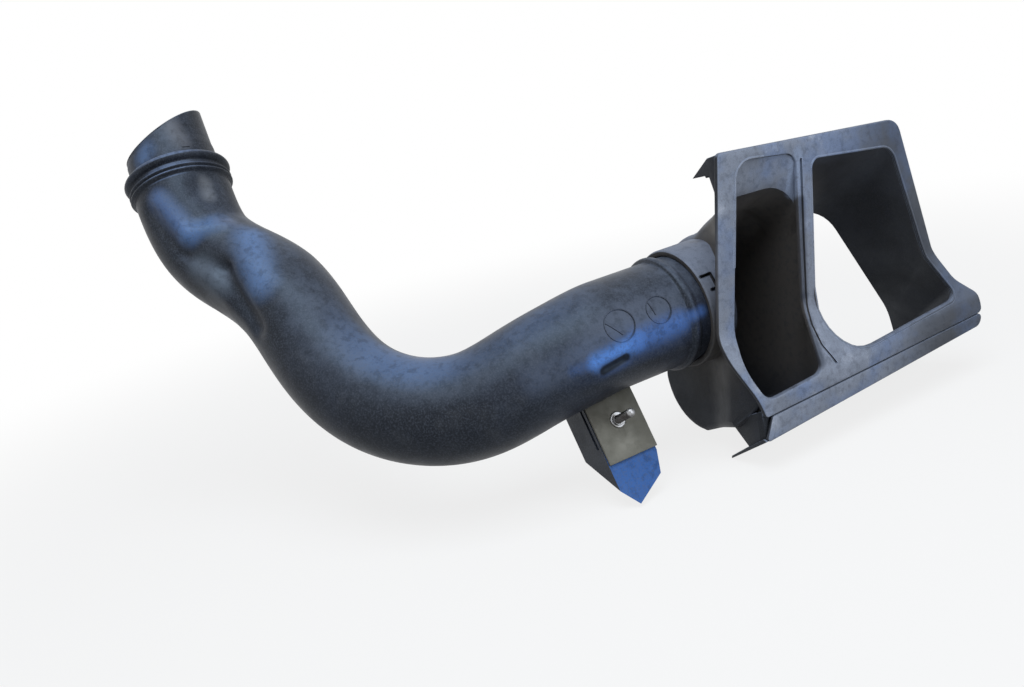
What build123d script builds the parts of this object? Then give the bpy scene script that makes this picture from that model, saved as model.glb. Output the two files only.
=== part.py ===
"""Air intake duct: a moulded pipe, a scoop snapped on its end, a spring clip on its lug and a stud."""
from build123d import *
import math
import os

os.makedirs("parts", exist_ok=True)

# Frame: origin at the stud on the clip's front face, +X out of the mouth, +Y along the pipe's straight end

# Pipe: axis of the straight end, then centreline points, each with its outside radius, up to the spigot
WALL = 2.5
AXIS_X, AXIS_Z = -13, 57.4
PIPE_END_Y = 98
PIPE_PATH = [
    (AXIS_X, 12, AXIS_Z, 39.8),
    (-15, -12, 54.5, 39.6),
    (-24, -45, 46.5, 38.9),
    (-40, -84, 35, 38.3),
    (-67, -120, 37.5, 38.0),
    (-105, -146, 56.5, 37.8),
    (-145, -157, 90, 38.2),
    (-184, -165, 128, 38.8),
    (-212, -181, 149, 37.2),
    (-236, -195.5, 171, 37.0),
    (-253.5, -199.8, 208.5, 37.4),
    (-263, -199, 226, 37.4),
]
PIPE_R = PIPE_PATH[0][3]
SECTIONS = 28

# Bead that stands just outside the scoop's sleeve
BEAD_Y, BEAD_R, BEAD_W = 61, 42.8, 8

# Airbox spigot: a round seat above two ridges, then a slimmer end cut aslant, longer on its +Y side
SPIGOT_DIR = Vector(-0.48, 0.04, 0.88).normalized()
SPIGOT_R, SPIGOT_LONG, SPIGOT_SHORT, CUT_TURN = 34.4, 54, 21, 17
SEAT_LEN, LEAD_IN = 19, 0.6
RIDGE_R, RIDGE_W = 41.6, 9
LOW_RIDGE_R, LOW_RIDGE_W, RIDGE_GAP = 40.6, 6, 10.5

# Lug under the pipe, in the stud's own plane, which leans back by LEAN about the pipe axis
LEAN = 27
LUG_Y0, LUG_Y1, LUG_FRONT, LUG_BACK, LUG_RISE = -20.5, 19.5, -2.1, -34, 28.5
LUG_TOP, LUG_CORNER_Z, LUG_TIP_Y, LUG_TIP_Z = 40, -46, -10, -59.5
SLOT_X0, SLOT_X1, SLOT_Z0, SLOT_Z1 = -8.4, -5.2, -14, 16

# Spring clip: front plate, bend round the lug's right side, rear leg in the lug's slot
CLIP_T, CLIP_Y0, CLIP_Y1, CLIP_Z0, CLIP_Z1 = 2.0, -20, 20.5, -27.4, 15.2
LEG_X0, LEG_X1, LEG_Y0, LEG_Z0, LEG_Z1 = -7.7, -5.7, -17, -12, 14

# Stud
STUD_R, STUD_LEN, STUD_DISC_R, STUD_DISC_T = 3.0, 24, 6, 1.2

# Scoop: sleeve over the pipe, mouth flange with two windows, hood and side channel
SKIN = 2.5
SCOOP_X0, SCOOP_X1, SCOOP_Y0, SCOOP_Y1 = -120, 90, 30, 330
SLEEVE_R, SLEEVE_BORE, SLEEVE_Y0, SLEEVE_Y1 = 44.6, 40.1, 73, 112
FLANGE_T, MOUTH_X, KICK_X, KICK_Z0, KICK_Z1 = 4.0, 42, 63, 40, 3
FLANGE = [(90, 165.5, 4), (260.5, 152.5, 12), (271, 95, 0), (285, 42, 0), (293, 17, 12), (304, 6, 6),
          (304, -7, 3), (85, -15, 3), (69, 6, 12), (64, 41, 20)]
LEFT_WINDOW = [(105, 157, 11), (160.5, 150, 6), (148, 46, 20), (137, -1, 9), (82, -4, 3), (77, 19, 12)]
RIGHT_WINDOW = [(171.5, 145.5, 5), (246.5, 133, 11), (284, 35, 14), (282, 8, 6), (197, 1.5, 12),
                (163, 4, 14), (152.5, 28, 14), (159, 52, 24)]
RIM_R = 1.2
GROOVE_W, GROOVE_DEEP = 1.8, 1.8
GROOVE = [(163.5, 143), (154, 60), (150, 38), (146, 16), (148, 2), (154, -8)]
HOOD_REAR, HOOD_TOP, HOOD_BOTTOM, HOOD_R = -60, 104, -46, 43
ROOF_X0, ROOF_Z0, ROOF_X1, ROOF_Z1 = 15, 127, 36, 161
CHANNEL_BACK = -20
CHANNEL_FRONT = [(249, 143), (287, 38), (287, -12)]
FRONT_TOP_Z, FRONT_LOW_Z = 150, -12
CHANNEL_REAR = [(237, 92), (287, -5), (301, -44)]
REAR_TOP_Z, REAR_LOW_Z = 93, -44
LEFT_WALL_Y, WALL_SLOPE, FLARE = 89, 0.145, 0.30
DIVIDER_Y, DIVIDER_Z, DIVIDER_SLOPE = 161, 99, 0.11
LIP_T, LIP_TILT = 3, 3.4
LATCH_TURN, LATCH_Y, LATCH_W, LATCH_L, LATCH_CUT = 29, 83, 11, 9, 2.2


def cross_plane(line, t):
    """Plane across the centreline with a steady direction, so that the loft does not twist."""
    z = line.tangent_at(t)
    ref = Vector(0.8, 0, 0.6)
    return Plane(origin=line.position_at(t), x_dir=(ref - z * ref.dot(z)).normalized(), z_dir=z)


def path_radius(t):
    pts = [Vector(*p[:3]) for p in PIPE_PATH]
    run = [0.0]
    for a, b in zip(pts, pts[1:]):
        run.append(run[-1] + (b - a).length)
    s = t * run[-1]
    i = max(k for k in range(len(run) - 1) if s >= run[k])
    f = (s - run[i]) / (run[i + 1] - run[i])
    return PIPE_PATH[i][3] * (1 - f) + PIPE_PATH[i + 1][3] * f


def cylinder_on(plane, radius, start, end):
    body = Cylinder(radius, end - start, align=(Align.CENTER, Align.CENTER, Align.MIN))
    return plane * Pos(0, 0, start) * body


def bead(plane, radius, width, depth):
    """Rounded ridge round an axis, centred on the plane."""
    low, h = radius - depth, width / 2
    pts = [(0, -h), (low, -h), (low + depth * 0.62, -h * 0.86), (radius, -h * 0.36)]
    pts += [(r, -z) for r, z in reversed(pts)]
    section = Plane(origin=plane.origin, x_dir=plane.x_dir, z_dir=-plane.y_dir)
    return revolve(section * make_face(Polyline(*pts, close=True)), Axis(plane.origin, plane.z_dir))


def yz_face(x, points):
    plane = Plane(origin=(x, 0, 0), x_dir=(0, 1, 0), z_dir=(1, 0, 0))
    return plane * make_face(Polyline(*points, close=True))


def slab(points, x0, x1):
    """Prism with a YZ outline, between two X planes."""
    return extrude(yz_face(x0, points), x1 - x0)


def rounded_slab(corners, x0, x1):
    """Prism with a YZ outline of corners, each with its own radius or none, between two X planes."""
    body = slab([c[:2] for c in corners], x0, x1)
    for y, z, radius in [c for c in corners if c[2]]:
        corner = Vector((x0 + x1) / 2, y, z)
        edges = body.edges().filter_by(Axis.X).sort_by(lambda e: (e.center() - corner).length)
        body = fillet(edges[0], radius)
    return body


def side_prism(wire, y0, y1):
    """Prism with an XZ outline, between two Y planes."""
    plane = Plane(origin=(0, y0, 0), x_dir=(1, 0, 0), z_dir=(0, -1, 0))
    return extrude(plane * make_face(wire), -(y1 - y0))


end_plane = Plane(origin=(AXIS_X, 0, AXIS_Z), x_dir=(1, 0, 0), z_dir=(0, 1, 0))
spigot_base = Vector(*PIPE_PATH[-1][:3])
spigot_plane = Plane(origin=spigot_base, x_dir=Vector(0, 1, 0).cross(SPIGOT_DIR), z_dir=SPIGOT_DIR)
stud_plane = Plane(
    origin=(0, 0, 0),
    x_dir=(0, 1, 0),
    z_dir=(math.cos(math.radians(LEAN)), 0, math.sin(math.radians(LEAN))),
)


def swept(shrink):
    line = Spline(*[p[:3] for p in PIPE_PATH], tangents=[(0, -1, 0), tuple(SPIGOT_DIR)])
    steps = [i / SECTIONS for i in range(SECTIONS + 1)]
    return loft([cross_plane(line, t) * Circle(path_radius(t) - shrink) for t in steps])


def lean_box(x0, x1, y0, y1, z0, z1):
    """Box in the stud's frame: x along the stud, y along the pipe, z up the clip."""
    return stud_plane * Pos((y0 + y1) / 2, (z0 + z1) / 2, (x0 + x1) / 2) * Box(y1 - y0, z1 - z0, x1 - x0)


def lug_outline(x, rise):
    pts = [
        (LUG_Y0, LUG_TOP),
        (LUG_Y1, LUG_TOP),
        (LUG_Y1, -30 + rise * 0.75),
        (LUG_Y1 - 5, LUG_CORNER_Z + rise),
        (LUG_TIP_Y, LUG_TIP_Z + rise),
        (LUG_Y0, LUG_CORNER_Z + rise),
    ]
    return stud_plane * Pos(0, 0, x) * make_face(Polyline(*pts, close=True))


def make_pipe():
    outer = swept(0) + cylinder_on(end_plane, PIPE_R, PIPE_PATH[0][1], PIPE_END_Y)
    outer += cylinder_on(spigot_plane, SPIGOT_R, 0, SEAT_LEN)
    outer += cylinder_on(spigot_plane, SPIGOT_R - LEAD_IN, 0, SPIGOT_LONG + 10)
    outer += bead(end_plane.offset(BEAD_Y), BEAD_R, BEAD_W, 4)
    outer += bead(spigot_plane, RIDGE_R, RIDGE_W, 8)
    outer += bead(spigot_plane.offset(-RIDGE_GAP), LOW_RIDGE_R, LOW_RIDGE_W, 5)
    lug = loft([lug_outline(LUG_BACK, LUG_RISE), lug_outline(LUG_FRONT, 0)], ruled=True)
    lug -= lean_box(SLOT_X0, SLOT_X1, LUG_Y0 - 5, LUG_Y1 + 5, SLOT_Z0, SLOT_Z1)
    lug -= lean_box(SLOT_X1 - 0.1, 20, LUG_Y0 - 5, LUG_Y1 + 5, CLIP_Z1 + 0.6, LUG_TOP + 5)
    outer += lug
    bore = swept(WALL) + cylinder_on(end_plane, PIPE_R - WALL, PIPE_PATH[0][1], PIPE_END_Y + 5)
    bore += cylinder_on(spigot_plane, SPIGOT_R - WALL, -3, SPIGOT_LONG + 20)
    tilt = math.degrees(math.atan2(SPIGOT_LONG - SPIGOT_SHORT, 2 * SPIGOT_R))
    mouth = spigot_plane.offset((SPIGOT_LONG + SPIGOT_SHORT) / 2)
    cutter = mouth * Rot(0, 0, CUT_TURN) * Rot(tilt, 0, 0) * Pos(0, 0, 60) * Box(200, 200, 120)
    return outer - bore - cutter


def make_clip():
    plate = lean_box(-CLIP_T, 0, CLIP_Y0, CLIP_Y1, CLIP_Z0, CLIP_Z1)
    leg = lean_box(LEG_X0, LEG_X1, LEG_Y0, CLIP_Y1, LEG_Z0, LEG_Z1)
    mid = LEG_X0 / 2
    turn = stud_plane * Pos(CLIP_Y1, 0, mid) * Rot(90, 0, 0) * Cylinder(-mid, LEG_Z1 - LEG_Z0)
    turn -= stud_plane * Pos(CLIP_Y1, 0, mid) * Rot(90, 0, 0) * Cylinder(-mid - CLIP_T, 100)
    turn = stud_plane * Pos(0, (LEG_Z0 + LEG_Z1) / 2, 0) * stud_plane.to_local_coords(turn)
    turn -= lean_box(-20, 10, -50, CLIP_Y1, -50, 50)
    body = plate + leg + turn
    return body - cylinder_on(stud_plane, STUD_R + 0.05, -CLIP_T - 1, 1)


def make_stud():
    shank = cylinder_on(stud_plane, STUD_R, -CLIP_T, STUD_LEN)
    tip = shank.edges().filter_by(GeomType.CIRCLE).sort_by(Axis.X)[-1]
    return chamfer(tip, 0.8) + cylinder_on(stud_plane, STUD_DISC_R, 0, STUD_DISC_T)


def flange_strip(depth):
    """S-shaped strip that the mouth flange is cut from: flat above, kicked forward below."""
    front = [(MOUTH_X, 200), (MOUTH_X, KICK_Z0 + 4), (KICK_X, KICK_Z1 - 3), (KICK_X, -60)]
    back = [(x - depth, z - (2 if 0 < i < 3 else 0)) for i, (x, z) in enumerate(front)]
    body = side_prism(Polyline(*front, *reversed(back), close=True), SCOOP_Y0, SCOOP_Y1)
    return fillet(body.edges().filter_by(Axis.Y).filter_by_position(Axis.Z, -20, 80), 10)


def hood_profile(skin):
    """XZ outline of the hood: down from the mouth, over the sleeve, round the back and along the floor."""
    top, rear, low, r = HOOD_TOP - skin, HOOD_REAR + skin, HOOD_BOTTOM + skin, HOOD_R - skin
    roof0, roof1 = (ROOF_X0, ROOF_Z0 - skin * 1.2), (ROOF_X1, ROOF_Z1 - skin * 1.8)
    floor0, floor1 = (rear + r, low), (70, low + 32)
    with BuildLine() as line:
        Line(floor1, floor0)
        ThreePointArc(floor0, (rear + r * 0.293, low + r * 0.293), (rear, low + r))
        Line((rear, low + r), (rear, top - r))
        ThreePointArc((rear, top - r), (rear + r * 0.293, top - r * 0.293), (rear + r, top))
        Polyline((rear + r, top), (-10, top), roof0, roof1, (70, roof1[1]), floor1)
    return line.wire()


def divider_y(z):
    """Right-hand face of the divider between hood and channel."""
    return DIVIDER_Y + DIVIDER_SLOPE * (z - DIVIDER_Z)


def hood_body(skin):
    """Hood solid between its slanted left wall, which flares out towards the mouth, and the divider."""
    body = side_prism(hood_profile(skin), SCOOP_Y0, DIVIDER_Y + 70)
    slope = Vector(0, 1, -WALL_SLOPE).normalized()
    flare = Vector(FLARE, 1, -WALL_SLOPE).normalized()
    foot = (0, LEFT_WALL_Y + skin, 0)
    back_wall = Plane(origin=foot, x_dir=(1, 0, 0), z_dir=slope)
    flared = Plane(origin=foot, x_dir=Vector(0, WALL_SLOPE, 1), z_dir=flare)
    divider = Plane(origin=(0, DIVIDER_Y - skin, DIVIDER_Z), x_dir=(1, 0, 0),
                    z_dir=Vector(0, 1, -DIVIDER_SLOPE).normalized())
    body = split(body, bisect_by=divider, keep=Keep.BOTTOM)
    front = split(body, bisect_by=Plane(origin=(0, 0, 0), x_dir=(0, 1, 0), z_dir=(1, 0, 0)), keep=Keep.TOP)
    return split(body, bisect_by=back_wall, keep=Keep.TOP) + split(front, bisect_by=flared, keep=Keep.TOP)


def inset(points, depth):
    """Outline moved inwards by depth, corner for corner; its points run clockwise."""
    out = []
    for i, here in enumerate(points):
        before, after = points[i - 1], points[(i + 1) % len(points)]
        a = (Vector(*here) - Vector(*before)).normalized()
        b = (Vector(*after) - Vector(*here)).normalized()
        na, nb = Vector(a.Y, -a.X), Vector(b.Y, -b.X)
        move = (na + nb) * (depth / (1 + na.dot(nb)))
        out.append((here[0] + move.X, here[1] + move.Y))
    return out


def channel_body(skin):
    """Side channel behind the right window, open at both ends, with its roof falling to the rear."""
    def outline(x, top, low, right):
        left = [(divider_y(low) - SKIN, low), (divider_y(top) - SKIN, top)]
        return yz_face(x, inset(left + right, skin))

    rear = outline(CHANNEL_BACK, REAR_TOP_Z, REAR_LOW_Z, CHANNEL_REAR)
    front = outline(MOUTH_X - FLANGE_T, FRONT_TOP_Z, FRONT_LOW_Z, CHANNEL_FRONT)
    run = loft([rear, front], ruled=True) + extrude(front, 40)
    return run + extrude(rear, -20) if skin else run


def lips():
    """Strip under the mouth, the plate that runs back from it, and the webs and lip at the left."""
    x1 = KICK_X - 1
    strip = slab([(86, -10), (302, -2), (299, -18), (76, -32)], x1 - LIP_T, x1)
    plate = side_prism(Polyline((x1, 0), (x1 - 3, 1.5), (19, -22), (18, -24.5), close=True), 0, 223)
    plate = Pos(0, 76, -32) * Rot(LIP_TILT, 0, 0) * plate
    low_web = side_prism(Polyline((22, -24), (40, -42), (x1 - 1, -33), (x1 - 1, -12), close=True), 78, 81)
    top_web = side_prism(Polyline((40, 165), (30, 163), (11, 149.5), (29, 151.5), (32, 140), (30, 126),
                                  (40, 124), close=True), 91, 94)
    top_lip = side_prism(Polyline((40, 164), (30, 162), (11, 149.5), (12, 147.5), (31, 158), (40, 159),
                                  close=True), 0, 150)
    return strip + plate + low_web + top_web + Pos(0, 91, 0) * Rot(-4.2, 0, 0) * top_lip


def latch_slot():
    """Slot with three sides that frees the snap tongue in the sleeve."""
    at = end_plane.offset(LATCH_Y) * Rot(0, 0, -LATCH_TURN)
    depth, r = 8, SLEEVE_R
    bars = Pos(r, LATCH_W / 2, 0) * Box(depth, LATCH_CUT, LATCH_L)
    bars += Pos(r, -LATCH_W / 2, 0) * Box(depth, LATCH_CUT, LATCH_L)
    bars += Pos(r, 0, LATCH_L / 2) * Box(depth, LATCH_W + LATCH_CUT, LATCH_CUT)
    return at * bars


def front_rim(body):
    """Edges round the faces that look out of the mouth."""
    front = [e for f in body.faces() if f.normal_at().X > 0.6 for e in f.edges()]
    return [e for e in front if sum(e.is_same(o) for o in front) == 1]


def divider_groove():
    """Groove down the front of the divider, as deep on the kicked part as on the flat."""
    h = GROOVE_W / 2
    path = [(y - h, z) for y, z in GROOVE] + [(y + h, z) for y, z in reversed(GROOVE)]
    uncut = Pos(-GROOVE_DEEP, 0, 0) * flange_strip(FLANGE_T * 6)
    return slab(path, MOUTH_X - FLANGE_T, SCOOP_X1) - uncut


def make_scoop():
    windows = rounded_slab(LEFT_WINDOW, MOUTH_X - 12, SCOOP_X1)
    windows += rounded_slab(RIGHT_WINDOW, MOUTH_X - 12, SCOOP_X1)
    flange = (flange_strip(FLANGE_T) & rounded_slab(FLANGE, MOUTH_X - 22, SCOOP_X1)) - windows
    flange = fillet(front_rim(flange), RIM_R)
    behind = side_prism(Polyline((SCOOP_X0, 220), (MOUTH_X - 1, 220), (MOUTH_X - 1, KICK_Z0 + 3),
                                 (KICK_X - 1, KICK_Z1 - 4), (KICK_X - 1, -80), (SCOOP_X0, -80),
                                 close=True), 0, SCOOP_Y1)
    ducts = (hood_body(0) + channel_body(0)) & behind
    ducts += lips() + cylinder_on(end_plane, SLEEVE_R, SLEEVE_Y0, SLEEVE_Y1)
    ducts -= (hood_body(SKIN) + channel_body(SKIN)) & behind
    body = flange + ducts
    body -= cylinder_on(end_plane, SLEEVE_BORE, SLEEVE_Y0 - 5, SLEEVE_Y1 + 10)
    return body - latch_slot() - divider_groove()


nodes = {
    "duct_pipe": make_pipe(),
    "intake_scoop": make_scoop(),
    "spring_clip": make_clip(),
    "fixing_stud": make_stud(),
}
for name, body in nodes.items():
    solids = body.solids()
    print(name, len(solids), "solids", round(sum(s.volume for s in solids)), "mm3")
    export_step(body, f"parts/{name}.step")
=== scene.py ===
"""Air intake duct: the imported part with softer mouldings, a threaded stud, mould marks and materials."""
import math
from contextlib import contextmanager

import bmesh
import bpy
import numpy as np
from mathutils import Matrix, Vector
from mathutils.bvhtree import BVHTree


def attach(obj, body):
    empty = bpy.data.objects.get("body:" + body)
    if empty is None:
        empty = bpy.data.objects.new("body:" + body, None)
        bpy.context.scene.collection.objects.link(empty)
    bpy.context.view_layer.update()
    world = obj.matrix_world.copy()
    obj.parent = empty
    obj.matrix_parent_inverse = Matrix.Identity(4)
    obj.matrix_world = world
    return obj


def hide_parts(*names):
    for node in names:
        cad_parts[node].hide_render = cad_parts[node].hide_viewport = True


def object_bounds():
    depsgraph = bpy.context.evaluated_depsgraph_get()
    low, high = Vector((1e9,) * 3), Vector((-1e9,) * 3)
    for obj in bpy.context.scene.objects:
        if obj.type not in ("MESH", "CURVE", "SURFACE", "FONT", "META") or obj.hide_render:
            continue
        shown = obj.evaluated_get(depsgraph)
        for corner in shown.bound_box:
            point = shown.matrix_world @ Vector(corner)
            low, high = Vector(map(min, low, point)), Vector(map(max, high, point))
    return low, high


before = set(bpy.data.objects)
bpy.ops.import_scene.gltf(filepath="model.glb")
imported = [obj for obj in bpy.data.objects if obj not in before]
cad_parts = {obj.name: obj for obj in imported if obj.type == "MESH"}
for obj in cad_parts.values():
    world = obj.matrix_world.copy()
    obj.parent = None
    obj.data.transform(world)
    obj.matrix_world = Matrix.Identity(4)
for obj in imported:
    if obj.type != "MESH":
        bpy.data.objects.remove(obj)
cad_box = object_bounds()
scene = bpy.context.scene

# Sizes and places are in mm, in the part's frame: X out of the mouth, Y along the pipe's straight end, Z up

# Stud frame: along the stud, along the pipe, up the clip
LEAN = math.radians(27)
STUD = Vector((math.cos(LEAN), 0, math.sin(LEAN)))
SIDE = Vector((0, 1, 0))
CLIP_UP = Vector((-math.sin(LEAN), 0, math.cos(LEAN)))

# Pipe as in the solids: centreline points, each with the outside radius there
PIPE_PATH = [(-13, 12, 57.4, 39.8), (-15, -12, 54.5, 39.6), (-24, -45, 46.5, 38.9), (-40, -84, 35, 38.3),
             (-67, -120, 37.5, 38.0), (-105, -146, 56.5, 37.8), (-145, -157, 90, 38.2),
             (-184, -165, 128, 38.8), (-212, -181, 149, 37.2), (-236, -195.5, 171, 37.0),
             (-253.5, -199.8, 208.5, 37.4), (-263, -199, 226, 37.4)]
AXIS_X, BEND_Y, AXIS_Z, PIPE_R = PIPE_PATH[0]
PIPE_END_Y, WALL = 98, 2.5

# Pipe's mesh: points in a ring, where rings start, and steps outside, by the ridges and inside
COLUMNS, RING_START = 160, Vector((0.8, 0, 0.6))
RING_STEP, FINE_STEP, BORE_STEP = 2.2, 0.55, 4.5
CUT_ROWS, CUT_BORE_ROWS = 14, 6

# Bead by the scoop, double rib and large ridge below the spigot, and how far round them the steps are fine
BEAD_AT, BEAD_HALF, BEAD_RISE = 37, 3.7, 3.0
RIB_DROPS, RIB_HALF, RIB_RISE = (12.1, 8.9), 1.5, 2.9
RIDGE_FOOT_R, RIDGE_HALF, RIDGE_RISE = 34, 4.5, 7.6
BEAD_NEAR, RIB_BELOW, RIDGE_ABOVE = 5, 15, 6

# Spigot with a seat, a small step down above it, a slanting cut, and the bore narrowed to it from below
SPIGOT_BASE = PIPE_PATH[-1][:3]
SPIGOT_DIR = Vector((-0.48, 0.04, 0.88)).normalized()
SPIGOT_R, SPIGOT_LONG, SPIGOT_SHORT, CUT_TURN = 34.4, 54, 21, math.radians(17)
SEAT_LEN, LEAD_IN, LEAD_BELOW, LEAD_RUN = 19, 0.6, 1, 1.2
BORE_BELOW, BORE_SHORT = 3, 2

# Dents and swellings of the blow-moulded neck, then the dimple by the collar: line ends, radius, push
DENTS = [((-219, -190, 217), (-222, -184, 219), 12, (-2.6, -0.6, -1.1)),
         ((-226, -222, 214), (-207, -212, 186), 7, (2.0, -1.5, 0.8)),
         ((-207, -212, 186), (-201, -184, 186), 7, (2.2, -0.3, 1.9)),
         ((-230, -229, 208), (-211, -223, 176), 6, (-1.6, 2.2, -0.6)),
         ((-206, -217, 172), (-182, -199, 158), 7, (-3.0, 2.6, -1.6)),
         ((-180, -199, 155), (-148, -193, 114), 7, (-2.9, 3.6, -1.4)),
         ((-166, -184, 158), (-148, -176, 138), 13, (1.4, -0.6, 1.5)),
         ((-192, -207, 152), (-176, -204, 136), 10, (0.9, -1.4, 0.6)),
         ((24.5, -15, 47.5), (25.5, 1, 50), 3.2, (-2.4, 0, 0.9))]

# Highlights and shades painted on the pipe as soft lines: line ends, reach, sRGB tint, share
PIPE_STREAKS = [
    ((6, -58, 52), (20, -25, 62), 18, (84, 94, 114), 0.6),
    ((19, -36, 53), (23, -20, 54), 6.5, (60, 82, 124), 0.7),
    ((23, -20, 54), (26.8, 12.8, 58.4), 10, (86, 132, 204), 1.0),
    ((26.8, 12.8, 58.4), (26.7, 49, 60), 13, (66, 100, 160), 0.9),
    ((27, 60, 62), (27, 68, 62), 7, (70, 104, 164), 0.8),
    ((24, 62, 40), (12, 66, 26), 17, (17, 18, 22), 0.85),
    ((-226, -222, 214), (-207, -212, 186), 15, (80, 102, 142), 0.9),
    ((-207, -212, 186), (-203, -187, 188), 13, (80, 108, 150), 0.9),
    ((-203, -187, 188), (-190, -168, 186), 11, (86, 92, 108), 0.8),
    ((-184, -173, 176), (-152, -181, 143), 21, (86, 110, 148), 0.9),
    ((-247, -222, 247), (-243, -219, 255), 13, (78, 98, 130), 0.9),
    ((-197, -212, 161), (-184, -207, 147), 19, (82, 90, 100), 0.8),
    ((-219, -184, 221), (-214, -186, 213), 11, (124, 126, 130), 0.85),
    ((-250, -194, 266), (-243, -192, 252), 12, (98, 98, 102), 0.8)]

# Mould date marks: centre, normal, ring radius, pointer about the centre; then a dash on the spigot
MARKS = [((22.7, 3.1, 72.4), (0.92, 0, 0.39), 11, [(-9, 4.3), (-4.8, -1.1), (-0.6, -6.5)]),
         ((23.4, 35.4, 73.4), (0.93, 0, 0.37), 9.5, [(-5.4, 6.8), (-4.6, 2), (-3.8, -2.7)])]
MARK_RING_R, MARK_POINTER_R, MARK_STEPS, MARK_DROP = 0.45, 0.6, 48, 20
DASH_AT, DASH_NORMAL, DASH, DASH_R = (-238, -189.7, 249.6), (0.86, 0.21, 0.46), [(-3, 0), (0, 0), (3, 0)], 0.7

# Lug: outline as (y, z, share of the rise), ends as (x, rise), stretch of pipe cut out of it, and clip's slot
LUG_OUTLINE = [(-20.5, 40, 0), (19.5, 40, 0), (19.5, -30, 0.75), (14.5, -46, 1), (-10, -59.5, 1),
               (-20.5, -46, 1)]
LUG_FRONT = -2.1
LUG_ENDS = [(-34, 28.5), (LUG_FRONT, 0)]
LUG_CORE = range(50, 140, 3)
CLIP_SLOT = (-8.4, -5.2), (-26, 25), (-14, 16)
CLIP_NOTCH = (-5.3, 20), (-26, 25), (15.8, 45)
LUG_EASE = 0.7

# Clip: front plate as (y, z) between two places on the stud, strap as (x, y) between two heights
CLIP_PLATE, PLATE_X = [(-20, -27.4), (20.5, -27.4), (20.5, 18.8), (-20, 16.3)], (-2, 0)
CLIP_STRAP = [(0, 20.5), (-7.7, 20.5), (-7.7, -17), (-5.7, -17), (-5.7, 19.7), (0, 19.7)]
STRAP_Z = (-12, 14)
PLATE_EASE, STRAP_EASE = 0.5, 0.3

# Stud as (place along it, radius): shank and soft-rimmed disc, M6 thread, chamfered end
STUD_STEPS, AXIS_R = 32, 0.02
STUD_DISC = [(-2.0, AXIS_R), (-2.0, 2.9), (0.05, 2.9), (0.05, 5.3), (0.3, 5.85), (0.7, 6.0), (1.05, 5.8),
             (1.2, 5.2), (1.1, 4.4), (0.95, 3.6), (1.0, 2.6)]
STUD_END = [(23.4, 2.4), (24.0, 1.9), (24.0, AXIS_R)]
THREAD_PITCH, THREAD_CREST, THREAD_ROOT, THREAD_FLAT = 1.0, 3.0, 2.45, 1.25
THREAD_FROM, THREAD_TO, THREAD_STEP = 1.2, 23.2, 0.125

# Scoop: outlines across the mouth as (y, z, corner radius), each going round from the top left
FLANGE = [(91, 166, 4), (259.5, 152.5, 13), (281, 48, 40), (289, 21, 18), (304, 6, 8), (303, -9, 4),
          (79, -15, 3), (64.5, 34, 55)]
LEFT_WINDOW = [(106, 157, 14), (158.5, 150.5, 9), (144.8, 46, 50), (135, -0.5, 9), (82, -3.5, 10),
               (75.5, 20, 45)]
RIGHT_WINDOW = [(172, 143, 7), (249.5, 133.5, 14), (272, 42, 40), (283, 8.5, 7), (150.5, 1, 30)]
CHANNEL_REAR = [(163, 93, 8), (234.4, 92.5, 45), (293, -13, 60), (299, -44, 5), (146, -44, 8)]
LIP = [(84.5, -15.4, 3), (303.5, -9.5, 3), (300, -19, 7), (76, -32.6, 2)]
GROOVE = [(162, 146), (154.5, 95), (148, 47), (143.6, 30), (143.6, 16), (149, 1)]
GROOVE_WIDE, GROOVE_DEEP = 2.4, 1.8
FLANGE_T, FLANGE_RIM, LIP_X, LIP_T, LIP_RIM = 4.0, 1.2, 61.4, 3, 1.0

# Raised rims of the windows: how far outside and behind the front, radius, points about the one corner
RIM_OUT, RIM_SUNK, RIM_R, RIM_BEFORE, RIM_AFTER = 0.9, 0.35, 0.9, 3, 11

# Rounded outlines: steps in an arc and in a run, and the half angle above which a corner is a short straight
ARC_STEPS, RUN_STEPS, NEARLY_STRAIGHT, STRAIGHT_RUN = 8, 5, 1.55, 6

# Flange front: flat above the knee, kicked forward below it, and the heights where the plate is cut to bend
MOUTH_X, FOOT_X, KNEE_Z = 42, 63, 44
KNEE_SPREAD = (-5, -2.5, 0, 2.5, 5)
BENDS = [-8, -5, -2, 1, 4, 7, 36, 39, 42, 45, 48, 51]

# Hood and channel behind the windows: wall, how far it starts behind the flange's front, channel's rear
SKIN, SHELL_SET, CHANNEL_BACK, CHANNEL_STEPS = 2.5, 2.2, -20, 9

# Hood: roof and floor as (x, z), where and how far its back rounds off, and its leaning side walls
HOOD_ROOF = [(-24, 101.5), (-17, 103.5), (-8, 110), (-4, 112.5), (3, 116), (12, 120), (21, 126), (34, 133)]
HOOD_FLOOR = [(-17, -43.5), (70, -11.5)]
HOOD_TURN_X, HOOD_BACK_R, HOOD_BACK = -17, 40.5, 39.7
LEFT_SLANT, HOOD_LEFT_Y, HOOD_FLARE = 0.145, 91.5, 0.42
RIGHT_SLANT, HOOD_RIGHT_Y, HOOD_RIGHT_Z = 0.11, 158.5, 99

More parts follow.
